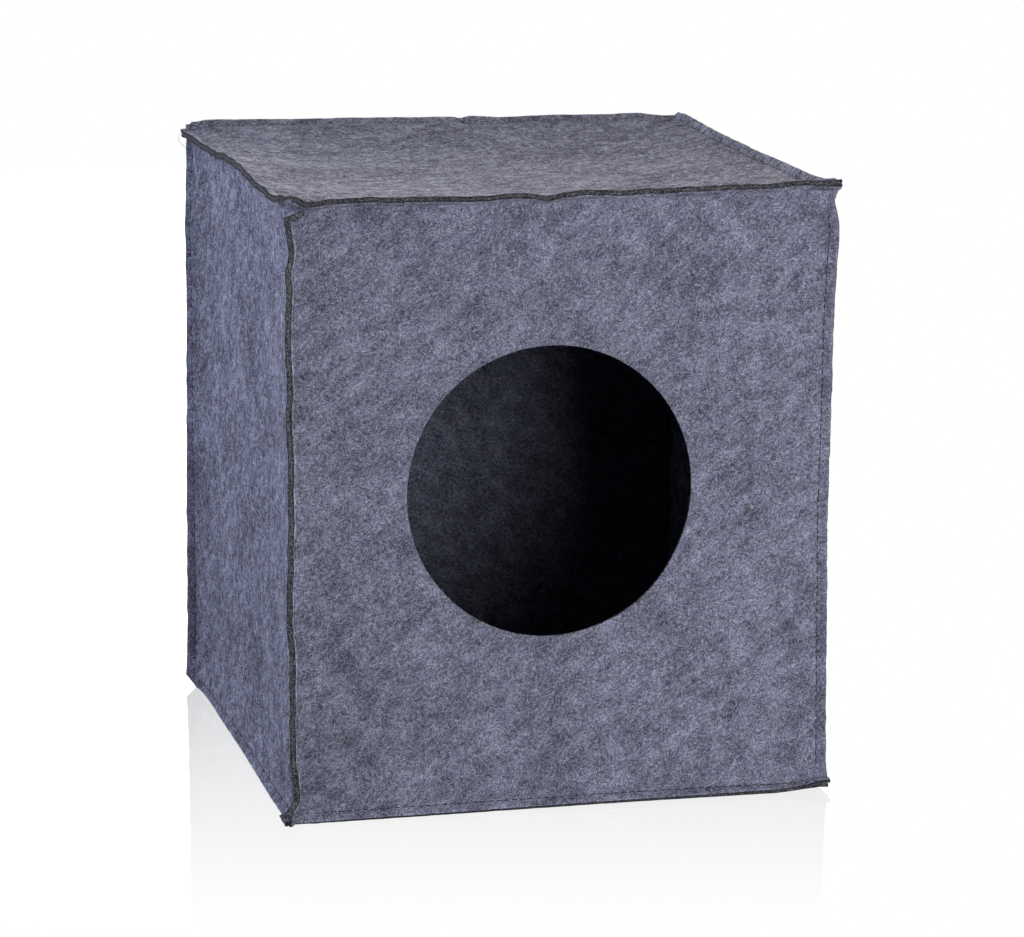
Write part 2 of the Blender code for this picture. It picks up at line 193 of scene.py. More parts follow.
# Each seam: its two panels, its two corners, and its course as rows of
# (share of its length, millimetres out of the first panel, millimetres out of the second,
# lean of the cut edges in degrees, from out of the first panel to out of the second,
# and the share of the usual reach of the cut edges, where it isn't 1)
SEAMS = {
    "front_left": (
        ("front", "left"),
        ("front_left_foot", "front_left_top"),
        (
            (0, 0, 0, 36), (0.012, 0, -0.8, 26), (0.026, 0, -1.8, 18), (0.045, 0, -1.4, 20),
            (0.1, 0, 0.3, 27), (0.2, 0, 0.2, 25), (0.27, 0, 0.3, 25), (0.33, 0, 2.3, 25),
            (0.37, 0, 1.7, 25), (0.42, 0, 0.9, 25), (0.6, 0, 0.6, 25), (0.64, 0, 1.4, 25),
            (0.7, 0, 0.8, 25), (0.77, 0, 1.9, 25), (0.86, 0, 1.1, 25), (0.89, 0, 1.2, 25),
            (0.925, 0, -0.5, 24), (0.945, 0, 0.2, 25), (0.97, 0, 1.4, 25), (0.984, 0, 1.9, 24),
            (0.9885, 0, 1.6, -20), (0.994, 0, 0.9, -60, 0.92), (1, 0, 0, -66, 0.75),
        ),
    ),
    "front_right": (
        ("front", "right"),
        ("front_right_foot", "front_right_top"),
        (
            (0, 0, 0, 64), (0.04, 0, -1.2, 66), (0.11, 0, -1.6, 67), (0.2, 0, -1.9, 67),
            (0.3, 0, -2.1, 68), (0.42, 0, -2.7, 68), (0.5, 0, -2.5, 68), (0.59, 0, -1.8, 68),
            (0.67, 0, -1.3, 68), (0.76, 0, -1, 68), (0.83, 0, -0.2, 68), (0.89, 0, 1, 68),
            (0.93, 0, 1.7, 68), (0.96, 0, 0.9, 66, 0.9), (0.98, 0, 0.2, 66, 0.72),
            (1, 0, 0, 70, 0.95),
        ),
    ),
    "back_left": (
        ("back", "left"),
        ("back_left_foot", "back_left_top"),
        (
            (0, 0, 0, 50), (0.1, 0, -1.1, 58), (0.22, 0, -0.9, 52), (0.32, 0, -0.4, 42),
            (0.42, 0, 0, 35), (0.54, 0, 0.4, 28), (0.68, 0, 0.5, 24), (0.8, 0, 1.3, 21),
            (0.9, 0, 1.1, 22), (0.95, 0, -0.4, 30), (1, 0, 0, 48, 0.6),
        ),
    ),
    "back_right": (
        ("back", "right"),
        ("back_right_foot", "back_right_top"),
        (
            (0, 0, 0, 42), (0.15, 0, -0.8, 45), (0.35, 0.3, -0.3, 50), (0.6, -0.6, -1.4, 44),
            (0.85, 0.2, -0.9, 47), (1, 0, 0, 45),
        ),
    ),
    "top_front": (
        ("top", "front"),
        ("front_left_top", "front_right_top"),
        (
            (0, 0, 0, 42), (0.007, 0, 0, 56), (0.015, -0.4, 0, 68), (0.03, -0.8, 0, 68),
            (0.07, -0.4, 0, 64), (0.12, 0, 0, 64), (0.2, -0.5, 0, 66), (0.34, -0.7, 0, 69),
            (0.42, -0.2, 0, 66), (0.445, -0.5, 0, 70), (0.46, -1.2, 0.2, 76), (0.48, -0.8, 0.3, 73),
            (0.5, -0.4, 0, 67), (0.56, -0.2, 0, 64), (0.61, -0.6, 0, 63), (0.7, -0.5, 0, 62),
            (0.8, -0.2, 0, 60), (0.9, -0.2, 0, 57), (0.95, 0.4, 0, 54), (1, 0, 0, 56),
        ),
    ),
    "top_back": (
        ("top", "back"),
        ("back_left_top", "back_right_top"),
        (
            (0, 0, 0, 44), (0.01, 0.9, 0, 50), (0.02, 1.9, 0, 52), (0.035, 2.4, 0, 52),
            (0.1, 2.3, 0, 56), (0.2, 2.2, 0, 62), (0.33, 2, 0, 62), (0.46, 1.2, 0, 62),
            (0.535, 1, 0, 62), (0.55, 0.3, 0, 66), (0.57, 1, 0, 62), (0.64, -0.2, 0, 62),
            (0.75, 0.4, 0, 62), (0.86, -0.2, 0, 62), (0.92, 0.2, 0, 62), (0.97, 0, 0, 70, 0.75),
            (1, 0, 0, 72, 0.5),
        ),
    ),
    "top_left": (
        ("top", "left"),
        ("back_left_top", "front_left_top"),
        (
            (0, 0, 0, 90), (0.03, 0, 0, 86), (0.07, 0, 0, 81), (0.19, -0.4, 0, 80),
            (0.28, 0.4, 0, 78), (0.36, 0.6, 0, 76), (0.44, 1.4, 0, 68), (0.53, 1.6, 0, 64),
            (0.6, 1.6, 0, 66), (0.68, 1, 0, 72), (0.76, 0, 0, 76), (0.83, 0.4, 0, 76),
            (0.91, -0.3, 0, 80), (0.955, 0.6, 0, 74), (0.98, 0.6, 0, 60), (1, 0, 0, 50),
        ),
    ),
    "top_right": (
        ("top", "right"),
        ("front_right_top", "back_right_top"),
        (
            (0, 0, 0, 52), (0.05, -2, -0.8, 48), (0.12, -2.6, -1.6, 46), (0.3, -2.4, -2.2, 45),
            (0.47, -2.8, -2.6, 44), (0.52, -2.2, -2.6, 47), (0.65, -2.4, -2.2, 45),
            (0.85, -1.4, -1.4, 46), (0.97, -0.4, -0.4, 48, 0.95), (1, 0, 0, 54, 0.75),
        ),
    ),
    "bottom_front": (
        ("bottom", "front"),
        ("front_left_foot", "front_right_foot"),
        (
            (0, 0, 0, 30), (0.03, 0.1, 0.2, 33), (0.12, 0, 0.2, 37), (0.3, -0.3, 0, 40),
            (0.45, -0.5, -0.3, 44), (0.6, -0.7, -0.2, 48), (0.75, -0.6, 0, 53), (0.84, -0.2, 0, 58),
            (0.93, 0.4, 0, 68), (1, 0, 0, 80),
        ),
    ),
    "bottom_left": (
        ("bottom", "left"),
        ("back_left_foot", "front_left_foot"),
        (
            (0, 0, 0, 0), (0.06, 0, -1.9, 4), (0.15, 0, -2.7, 8), (0.3, 0, -2.7, 18),
            (0.5, 0, -2.2, 24), (0.7, 0, -0.7, 28), (0.87, 0.3, 0.3, 33), (0.965, 0.2, 0.2, 40),
            (1, 0, 0, 64, 1.1),
        ),
    ),
    "bottom_right": (
        ("bottom", "right"),
        ("front_right_foot", "back_right_foot"),
        (
            (0, 0, 0, 55, 0.85), (0.04, 0, -0.3, 35, 0.8), (0.2, 0, -1.6, 10), (0.5, 0, -2.2, 14),
            (0.8, 0, -1.2, 6), (1, 0, 0, 4),
        ),
    ),
    "bottom_back": (
        ("bottom", "back"),
        ("back_left_foot", "back_right_foot"),
        (
            (0, 0, 0, 6), (0.25, 0, -1.2, 12), (0.55, 0, -1.9, 10), (0.8, 0, -1, 5), (1, 0, 0, 8),
        ),
    ),
}

OUTWARDS = {"front": FRONT, "back": BACK, "left": LEFT, "right": RIGHT, "top": UP, "bottom": DOWN}

# Each panel's corners, anticlockwise from outside
PANELS = {
    "front": ("front_left_foot", "front_right_foot", "front_right_top", "front_left_top"),
    "back": ("back_right_foot", "back_left_foot", "back_left_top", "back_right_top"),
    "left": ("back_left_foot", "front_left_foot", "front_left_top", "back_left_top"),
    "right": ("front_right_foot", "back_right_foot", "back_right_top", "front_right_top"),
    "top": ("front_left_top", "front_right_top", "back_right_top", "back_left_top"),
    "bottom": ("front_right_foot", "front_left_foot", "back_left_foot", "back_right_foot"),
}

# How far the middle of a panel stands out of its seams, and how quickly it gets there
BELLIES = {
    "front": (-0.0012, 0.020),
    "back": (-0.0020, 0.030),
    "left": (-0.0042, 0.024),
    "right": (-0.0035, 0.028),
    "top": (-0.0110, 0.110),
    "bottom": (0.0, 0.030),
}

# How strongly each panel has the slow waves of felt, where it isn't 1
WAVINESS = {"bottom": 0.3, "front": 0.8, "top": 1.2}

# What becomes of the felt past both seams at each of a panel's corners: open (cut out), square,
# round, slanted, or a tab that goes on from its side seam or its end seam
CORNER_CUTS = {
    "front": ("side tab", "end tab", "end tab", "open"),
    "back": ("slanted", "slanted", "end tab", "round"),
    "left": ("slanted", "side tab", "round", "end tab"),
    "right": ("slanted", "slanted", "end tab", "round"),
    "top": ("round", "end tab", "side tab", "side tab"),
    "bottom": ("end tab", "side tab", "open", "open"),
}

# How strongly each seam has the small waves of sewing, where it isn't 1
WAVE_SHARES = {
    "bottom_front": 0.3,
    "bottom_left": 0.3,
    "bottom_right": 0.5,
    "bottom_back": 0.5,
    "top_back": 0.5,
    "top_right": 0.5,
}

# A loose end of thread at the far left corner of the roof
TAIL_RADIUS = 0.2 * THREAD
LOOSE_THREAD = (
    (-0.1695, 0.1690, 0.3745),
    (-0.1722, 0.1680, 0.3758),
    (-0.1738, 0.1672, 0.3746),
    (-0.1744, 0.1668, 0.3724),
    (-0.1737, 0.1670, 0.3703),
    (-0.1723, 0.1676, 0.3686),
    (-0.1706, 0.1684, 0.3672),
    (-0.1690, 0.1690, 0.3664),
)


def corner_point(name):
    """Where three seams meet, on the wrong faces."""
    depth, width, level = name.split("_")
    x = HALF_WIDTH if width == "right" else -HALF_WIDTH
    y = HALF_DEPTH if depth == "back" else -HALF_DEPTH
    z = ROOF if level == "top" else FOOT
    return np.array((x, y, z)) + np.array(CORNER_SHIFTS[name]) * MM


def corner_pull(name, distance):
    """What the pull on a corner comes to at a distance from it."""
    pull = np.array(CORNER_PULLS.get(name, (0.0, 0.0, 0.0))) * MM
    return pull * np.exp(-np.asarray(distance, float)[..., None] / PULL_REACH)


def smooth_course(shares, values, where):
    """A smooth curve through values at shares that never swings past them, read at where."""
    shares = np.asarray(shares, float)
    values = np.asarray(values, float)
    rises = np.diff(values) / np.diff(shares)
    slopes = np.gradient(values, shares)
    before, after = np.append(rises[0], rises), np.append(rises, rises[-1])
    limit = np.where(before * after > 0, 3 * np.minimum(np.abs(before), np.abs(after)), 0.0)
    slopes = np.clip(slopes, -limit, limit)
    k = np.clip(np.searchsorted(shares, where) - 1, 0, len(shares) - 2)
    step = shares[k + 1] - shares[k]
    x = (where - shares[k]) / step
    hold, go = (1 + 2 * x) * (1 - x) ** 2, x * (1 - x) ** 2
    return (
        values[k] * hold
        + values[k + 1] * (1 - hold)
        + step * (slopes[k] * go - slopes[k + 1] * x * x * (1 - x))
    )


def ease(x):
    """From 0 to 1 as x goes from 0 to 1, with soft ends."""
    x = np.clip(x, 0.0, 1.0)
    return x * x * (3 - 2 * x)


def unit(vectors):
    """The same directions at length 1. What has no length stays as it is."""
    return vectors / np.maximum(np.linalg.norm(vectors, axis=-1, keepdims=True), NO_LENGTH)


def waves(where, lengths, seed):
    """An uneven wave of about unit height: a sum of sines of these wavelengths."""
    phases = np.random.default_rng(seed).uniform(0, 2 * math.pi, len(lengths))
    total = sum(np.sin(2 * math.pi * where / length + phase) for length, phase in zip(lengths, phases))
    return total / math.sqrt(len(lengths))


class Seam:
    """A seam between two panels: the line of its bend and the way its cut edges point."""

    FINE_WAVES = (0.013, 0.021, 0.032)
    FINE_HEIGHT = 0.00016
    FINE_CALM = 0.02  # from a corner to where the fine waves are whole
    LEAN_WAVES = (0.028, 0.047, 0.083)
    LEAN_HEIGHT = 1.8  # degrees
    LEAN_CALM = 0.03

    def __init__(self, name, seed):
        self.name = name
        self.panels, self.corners, self.course = SEAMS[name]
        self.ends = [corner_point(corner) for corner in self.corners]
        self.length = float(np.linalg.norm(self.ends[1] - self.ends[0]))
        self.sides = [np.array(OUTWARDS[panel]) for panel in self.panels]
        self.seed = seed
        self.wave_share = WAVE_SHARES.get(name, 1.0)

    def column(self, number, where):
        """One column of the seam's course, read at shares of its length."""
        shares = [row[0] for row in self.course]
        values = [row[number] if number < len(row) else 1.0 for row in self.course]
        return smooth_course(shares, values, where)

    def sway(self, where):
        """Offset of the bend from the straight seam."""
        first, second = (self.column(number, where)[..., None] * MM for number in (1, 2))
        return first * self.sides[0] + second * self.sides[1]

    def ripple(self, where):
        """The small waves that the sewing leaves."""
        calm = self.calm(where, self.FINE_CALM)
        distance = where * self.length
        parts = [
            waves(distance, self.FINE_WAVES, self.seed + k)[..., None] * calm[..., None] * side
            for k, side in enumerate(self.sides)
        ]
        return (parts[0] + parts[1]) * self.FINE_HEIGHT * self.wave_share

    def calm(self, where, run):
        """0 at both corners, rising to 1 within this run."""
        return ease(where * self.length / run) * ease((1 - where) * self.length / run)

    def line(self, where):
        """Places of the bend."""
        where = np.asarray(where, float)
        straight = self.ends[0] + where[..., None] * (self.ends[1] - self.ends[0])
        run = where * self.length
        pulls = corner_pull(self.corners[0], run) + corner_pull(self.corners[1], self.length - run)
        return straight + pulls + self.sway(where) + self.ripple(where)

    def out(self, where):
        """Unit direction of the cut edges."""
        where = np.asarray(where, float)
        wave = waves(where * self.length, self.LEAN_WAVES, self.seed + 5)
        sway = wave * self.calm(where, self.LEAN_CALM) * self.LEAN_HEIGHT * self.wave_share
        lean = np.radians(self.column(3, where) + sway)[..., None]
        return np.cos(lean) * self.sides[0] + np.sin(lean) * self.sides[1]

    def reach(self, where):
        """How far the felt goes out here, against the usual."""
        return self.column(4, np.asarray(where, float))[..., None]


class Border:
    """A panel's own view of one of its seams, run in the panel's direction."""

    def __init__(self, seam, start):
        self.seam = seam
        self.turned = seam.corners[0] != start

    def share(self, where):
        where = np.asarray(where, float)
        return 1 - where if self.turned else where

    def sway(self, where):
        return self.seam.sway(self.share(where))

    def ripple(self, where):
        return self.seam.ripple(self.share(where))

    def out(self, where):
        return self.seam.out(self.share(where))

    def reach(self, where):
        return self.seam.reach(self.share(where))

    def felt_past(self, where, distance):
        """Places on the felt at this distance past the bend."""
        return self.seam.line(self.share(where)) + self.out(where) * self.reach(where) * distance


def find_border(seams, start, end):
    """The border that runs from one corner to the next."""
    for seam in seams.values():
        if set(seam.corners) == {start, end}:
            return Border(seam, start)
    raise ValueError(f"no seam from {start} to {end}")


def panel_stations(length, marks=()):
    """Distances across a panel, from cut edge to cut edge: about a cell apart, and one at each mark."""
    reach = [*SEAM_RINGS, STITCH_LINE]
    stops = [0.0, FINE_RUN, *sorted(marks), length - FINE_RUN, length]
    inside = [0.0]
    for low, high in zip(stops, stops[1:]):
        cell = CELL / 2 if high - low < FINE_RUN + SAME_PLACE else CELL
        count = max(2, round((high - low) / cell))
        inside += list(low + (high - low) * np.arange(1, count + 1) / count)
    return np.array([-r for r in reach] + inside + [length + r for r in reach[::-1]])


def round_entrance(across, along, middle):
    """Moves the cells round the entrance, so that a square of them becomes a circle."""
    u, v = across - middle[0], along - middle[1]
    square = np.maximum(np.abs(u), np.abs(v))
    ring = np.maximum(np.hypot(u, v), SAME_PLACE)
    share = 1 - ease((square - ENTRANCE_HALF) / (ENTRANCE_SETTLED - ENTRANCE_HALF))
    scale = 1 + share * (square * ENTRANCE_RADIUS / ENTRANCE_HALF / ring - 1)
    return middle[0] + u * scale, middle[1] + v * scale


def corner_puckers(across, along, width, length, seed):
    """Small folds that fan out of a panel's four corners."""
    rng = np.random.default_rng(seed)
    height = np.zeros_like(across)
    other_across, other_along = width - across, length - along
    for u, v in (
        (across, along),
        (other_across, along),
        (across, other_along),
        (other_across, other_along),
    ):
        u, v = np.clip(u, 0, None), np.clip(v, 0, None)
        angle = np.arctan2(v, u + SAME_PLACE)
        run = np.hypot(u, v) / rng.uniform(*PUCKER_REACHES)
        folds = np.sin(rng.integers(5, 8) * angle + rng.uniform(0, 2 * math.pi))
        height += PUCKER * folds * run * np.exp(1 - run) * np.sin(2 * angle) ** 2
    return height


def panel_unevenness(across, along, seed):
    """The slow waves of a large sheet of felt."""
    rng = np.random.default_rng(seed)
    total = np.zeros_like(across)
    for length in SLOW_WAVES:
        heading = rng.uniform(0, math.pi)
        phase = rng.uniform(0, 2 * math.pi)
        run = across * math.cos(heading) + along * math.sin(heading)
        total += length * np.sin(2 * math.pi * run / length + phase)
    return total * UNEVENNESS


def edge_hold(across, along, width, length, reach):
    """0 at a panel's seams, rising to 1 in its middle."""
    def rise(distance):
        return 1 - np.exp(-np.clip(distance, 0, None) / reach)

    def one(x, full):
        return rise(x) * rise(full - x)

    return one(across, width) * one(along, length)


class Panel:
    """One sheet of felt: its wrong face and its right face on one grid of cells."""

    def __init__(self, name, seams, seed):
        self.name = name
        self.seed = seed
        self.corners = PANELS[name]
        a, b, c, d = self.corners
        self.low, self.high = find_border(seams, a, b), find_border(seams, d, c)
        self.near, self.far = find_border(seams, a, d), find_border(seams, b, c)
        self.points = [corner_point(corner) for corner in self.corners]
        self.outwards = np.array(OUTWARDS[name])
        self.width = DEPTH if name in ("left", "right") else WIDTH
        self.length = DEPTH if name in ("top", "bottom") else HEIGHT
        self.lay_out()
        self.place_wrong_face()
        self.place_faces()

    def lay_out(self):
        """The flat sheet: the grid's distances across and along it, and which cells are felt."""
        marks_across, marks_along = [], []
        middle = None
        if self.name == "front":
            middle = (ENTRANCE_MIDDLE[0] + HALF_WIDTH, ENTRANCE_MIDDLE[1] - FOOT)
            marks_across = [middle[0] - ENTRANCE_HALF, middle[0] + ENTRANCE_HALF]
            marks_along = [middle[1] - ENTRANCE_HALF, middle[1] + ENTRANCE_HALF]
        columns = panel_stations(self.width, marks_across)
        rows = panel_stations(self.length, marks_along)
        self.across, self.along = np.meshgrid(columns, rows)
        in_across = (columns > -SAME_PLACE) & (columns < self.width + SAME_PLACE)
        in_along = (rows > -SAME_PLACE) & (rows < self.length + SAME_PLACE)
        self.inner_columns = np.flatnonzero(in_across)
        self.inner_rows = np.flatnonzero(in_along)
        self.felt = np.ones((len(rows) - 1, len(columns) - 1), bool)
        if middle:
            self.cut_entrance(columns, rows, middle)
        for k, cut in enumerate(CORNER_CUTS[self.name]):
            if cut == "open":
                first, last = self.inner_rows[0], self.inner_rows[-1]
                left, right = self.inner_columns[0], self.inner_columns[-1]
                part_rows = slice(0, first) if k in (0, 1) else slice(last, None)
                part_columns = slice(0, left) if k in (0, 3) else slice(right, None)
                self.felt[part_rows, part_columns] = False

    def cut_entrance(self, columns, rows, middle):
        """Takes a square of cells out and rounds the hole."""
        mid_columns = np.abs((columns[1:] + columns[:-1]) / 2 - middle[0])
        mid_rows = np.abs((rows[1:] + rows[:-1]) / 2 - middle[1])
        self.felt &= ~((mid_columns < ENTRANCE_HALF)[None, :] & (mid_rows < ENTRANCE_HALF)[:, None])
        inner = np.ix_(self.inner_rows, self.inner_columns)
        moved = round_entrance(self.across[inner], self.along[inner], middle)
        self.across[inner], self.along[inner] = moved

    def sheet_points(self, across, along):
        """The wrong face between the seams."""
        u, v = across / self.width, along / self.length
        p00, p10, p11, p01 = self.points
        u1, v1 = u[..., None], v[..., None]
        base = (1 - u1) * (1 - v1) * p00 + u1 * (1 - v1) * p10 + u1 * v1 * p11 + (1 - u1) * v1 * p01
        for border, where, distance in (
            (self.low, u, along),
            (self.high, u, self.length - along),
            (self.near, v, across),
            (self.far, v, self.width - across),
        ):
            distance = np.clip(distance, 0, None)[..., None]
            base = base + border.sway(where) * np.exp(-distance / SWAY_REACH)
            base = base + border.ripple(where) * np.exp(-distance / RIPPLE_REACH)
            base = base + self.gathers(border, where, distance) * self.outwards
        ends_across = (0, self.width, self.width, 0)
        ends_along = (0, 0, self.length, self.length)
        for corner, x, y in zip(self.corners, ends_across, ends_along):
            base = base + corner_pull(corner, np.hypot(across - x, along - y))
        base = base + self.standing_out(across, along)[..., None] * self.outwards
        if self.name == "bottom":
            lying = LEAST_HEIGHT + HALF_GAP + FELT
            share = ease(np.minimum(across, self.width - across) / FLOOR_RISE)
            share = share * ease(np.minimum(along, self.length - along) / FLOOR_RISE)
            base[..., 2] += (lying - base[..., 2]) * share
        return base

    def standing_out(self, across, along):
        """How far the sheet stands out of the plane of its seams."""
        belly, reach = BELLIES[self.name]
        hold = edge_hold(across, along, self.width, self.length, reach)
        hold = hold / edge_hold(self.width / 2, self.length / 2, self.width, self.length, reach)
        slow_hold = edge_hold(across, along, self.width, self.length, UNEVEN_REACH)
        slow = panel_unevenness(across, along, self.seed) * slow_hold * WAVINESS.get(self.name, 1.0)
        return belly * hold + slow + corner_puckers(across, along, self.width, self.length, self.seed + 1)

    def gathers(self, border, where, distance):
        """Small slanting folds that the stitches draw into the felt beside a seam."""
        run = where[..., None] * border.seam.length
        calm = ease(run / GATHER_CALM) * ease((border.seam.length - run) / GATHER_CALM)
        fold = waves(run + GATHER_SLANT * distance, GATHER_WAVES, border.seam.seed + self.seed)
        fade = np.exp(-distance / GATHER_REACH) * (1 - np.exp(-distance / GATHER_RISE))
        return GATHER * fold * calm * fade

    def place_wrong_face(self):
        """The whole wrong face: the sheet between the seams, then the felt past each, then the corners."""
        rows, columns = self.inner_rows, self.inner_columns
        self.wrong = np.zeros((*self.across.shape, 3))
        inner = np.ix_(rows, columns)
        self.wrong[inner] = self.sheet_points(self.across[inner], self.along[inner])
        u = self.across[0, columns] / self.width
        v = self.along[rows, 0] / self.length
        for j in np.setdiff1d(np.arange(self.across.shape[0]), rows):
            border = self.low if j < rows[0] else self.high
            past = max(-self.along[j, 0], self.along[j, 0] - self.length)
            self.wrong[j, columns] = border.felt_past(u, past)
        for i in np.setdiff1d(np.arange(self.across.shape[1]), columns):
            border = self.near if i < columns[0] else self.far
            past = max(-self.across[0, i], self.across[0, i] - self.width)
            self.wrong[rows, i] = border.felt_past(v, past)
        for k in range(4):
            self.place_corner(k)

    def place_corner(self, k):
        """The square of felt past both seams at a corner."""
        across_high, along_high = k in (1, 2), k in (2, 3)
        side = self.far if across_high else self.near
        end = self.high if along_high else self.low
        side_end, end_end = float(along_high), float(across_high)
        side_reach, end_reach = side.reach(side_end), end.reach(end_end)
        side_out = side.out(side_end) * side_reach
        end_out = end.out(end_end) * end_reach
        cut = CORNER_CUTS[self.name][k]
        past_side = unit(self.points[k] - self.points[(3, 2, 1, 0)[k]])
        past_end = unit(self.points[k] - self.points[(1, 0, 3, 2)[k]])
        rows = range(self.inner_rows[-1] + 1, len(self.along)) if along_high else range(0, self.inner_rows[0])
        columns = (
            range(self.inner_columns[-1] + 1, self.across.shape[1])
            if across_high
            else range(0, self.inner_columns[0])
        )
        corner = self.points[k] + corner_pull(self.corners[k], 0.0)
        for j in rows:
            for i in columns:
                a = self.across[j, i] - self.width if across_high else -self.across[j, i]
                b = self.along[j, i] - self.length if along_high else -self.along[j, i]
                if cut == "side tab":
                    step = self.tab_step(side_out, end_out, past_side, a, b, end_reach)
                elif cut == "end tab":
                    step = self.tab_step(end_out, side_out, past_end, b, a, side_reach)
                else:
                    step = side_out * a + end_out * b
                    if cut == "slanted":
                        step = step * max(a, b) / (a + b)
                    else:
                        length = math.hypot(a, b) if cut == "square" else max(a, b)
                        step = step * length / max(np.linalg.norm(step), ON_LINE)
                self.wrong[j, i] = corner + step

    def tab_step(self, out, start, past, a, b, reach):
        """A step over an unsewn tab, a out of the seam that it goes on from and b past that seam's end."""
        turn = ease(a / TAB_BEND)
        tab = unit(start * (1 - turn) + past * turn)
        tab = tab + self.splay(out, past) * turn * b / SEAM_REACH
        return out * a + tab * b * reach

    def splay(self, out, past):
        """The way in which an unsewn tab stands off the felt of the next panel."""
        away = unit(np.cross(out, past))
        return TAB_SPLAY * away * math.copysign(1.0, away @ self.outwards)

    def cell_normals(self, points):
        """Unit normals of the cells, to the right face's side."""
        diagonal = points[1:, 1:] - points[:-1, :-1]
        other = points[1:, :-1] - points[:-1, 1:]
        return unit(np.cross(diagonal, other))

    def offsets(self, points, thickness):
        """Per point, the step that puts each cell round it at this height above the sheet."""
        normals = self.cell_normals(points) * self.felt[..., None]
        rows, columns = points.shape[:2]
        matrix = np.zeros((rows, columns, 3, 3))
        vector = np.zeros((rows, columns, 3))
        for dj in (0, 1):
            for di in (0, 1):
                part = (slice(dj, rows - 1 + dj), slice(di, columns - 1 + di))
                matrix[part] += normals[..., :, None] * normals[..., None, :]
                vector[part] += normals
        values, vectors = np.linalg.eigh(matrix)
        largest = np.maximum(values[..., -1:], SAME_PLACE)
        inverse = np.where(values > LEAST_TURN * largest, 1 / np.maximum(values, SAME_PLACE), 0.0)
        along_axes = np.einsum("...ij,...i->...j", vectors, vector)
        step = np.einsum("...ij,...j->...i", vectors, along_axes * inverse)
        size = np.linalg.norm(step, axis=-1, keepdims=True)
        step = step * np.minimum(1.0, LONGEST_MITRE / np.maximum(size, SAME_PLACE))
        return step * thickness[..., None]

    def borders(self):
        """The four seams, each with how far every point lies past it and along it, its length and a count."""
        row, column = np.indices(self.across.shape)
        return (
            (self.near, -self.across, self.along, self.length, row),
            (self.far, self.across - self.width, self.along, self.length, row),
            (self.low, -self.along, self.across, self.width, column),
            (self.high, self.along - self.length, self.across, self.width, column),
        )

    def place_faces(self):
        """Both faces of the felt, which is thinner in the seams and along the stitches."""
        shape = self.across.shape
        thickness = np.full(shape, FELT)
        for border, past, run, full, _ in self.borders():
            pressed = PRESSED_FELT.get(border.seam.name, USUAL_PRESSED_FELT)
            sewn = ease(np.minimum(run, full - run) / SEAM_END)
            thickness = np.where(past > ON_LINE, LOOSE_EDGE + (pressed - LOOSE_EDGE) * sewn, thickness)
        for border, past, run, full, number in self.borders():
            on_line = np.abs(past - STITCH_LINE) < ON_LINE
            inside = (run > SEAM_END) & (run < full - SEAM_END)
            sink = STITCH_SINK + HOLE_SINK * (number % 2 == 0)
            if border.seam.name in SUNK_SEAMS:
                sink = sink * SUNK_SHARE
            thickness = thickness - np.where(on_line & inside, sink, 0.0)
        gap = np.full(shape, HALF_GAP)
        self.inside = self.wrong + self.offsets(self.wrong, gap)
        self.outside = self.wrong + self.offsets(self.wrong, gap + thickness)
        for face in (self.inside, self.outside):
            face[..., 2] = np.maximum(face[..., 2], LEAST_HEIGHT)

    def stitch_holes(self, seam):
        """Needle holes of one of the panel's four seams: their places on the right face, and out."""
        rows, columns = self.inner_rows, self.inner_columns
        if seam in (self.low.seam, self.high.seam):
            j = rows[0] - 1 if seam is self.low.seam else rows[-1] + 1
            index = [(j, i) for i in columns if i % 2 == 0]
            run, full = self.across, self.width
        else:
            i = columns[0] - 1 if seam is self.near.seam else columns[-1] + 1
            index = [(j, i) for j in rows if j % 2 == 0]
            run, full = self.along, self.length
        index = [k for k in index if SEAM_END < run[k] < full - SEAM_END]
        places = np.array([self.outside[k] for k in index])
        out = np.array([self.outside[k] - self.inside[k] for k in index])
        return places, unit(out)

    def cut_run(self, quads):
        """The sheet's outline and its entrance's, as pairs of neighbouring points of the grid."""
        padded = np.pad(self.felt, 1)
        pairs = []
        for first, second, neighbour in (
            (0, 1, padded[:-2, 1:-1]),
            (1, 2, padded[1:-1, 2:]),
            (2, 3, padded[2:, 1:-1]),
            (3, 0, padded[1:-1, :-2]),
        ):
            free = self.felt & ~neighbour
            pairs.append(np.stack([quads[..., first][free], quads[..., second][free]], -1))
        return np.concatenate(pairs)

    def cut_middle(self, inside, outside, a, b):
        """The line halfway through the cut faces, which stands out a little and unevenly."""
        past = unit(np.cross(outside[b] - outside[a], outside[a] - inside[a]))
        outward = np.zeros_like(outside)
        for end in (a, b):
            np.add.at(outward, end, past)
        rng = np.random.default_rng(self.seed + 9)
        bulge = CUT_BULGE + rng.uniform(-CUT_ROUGHNESS, CUT_ROUGHNESS, (len(outside), 1))
        middle = (outside + inside) / 2 + unit(outward) * bulge
        middle[:, 2] = np.maximum(middle[:, 2], LEAST_HEIGHT)
        return middle

    def edge_shades(self):
        """How much darker the cut edges are at each point of the grid."""
        shade = np.zeros(self.across.shape)
        for border, past, *_ in self.borders():
            shade = np.where(past > SEAM_REACH - ON_LINE, EDGE_SHADES.get(border.seam.name, 0.0), shade)
        return shade

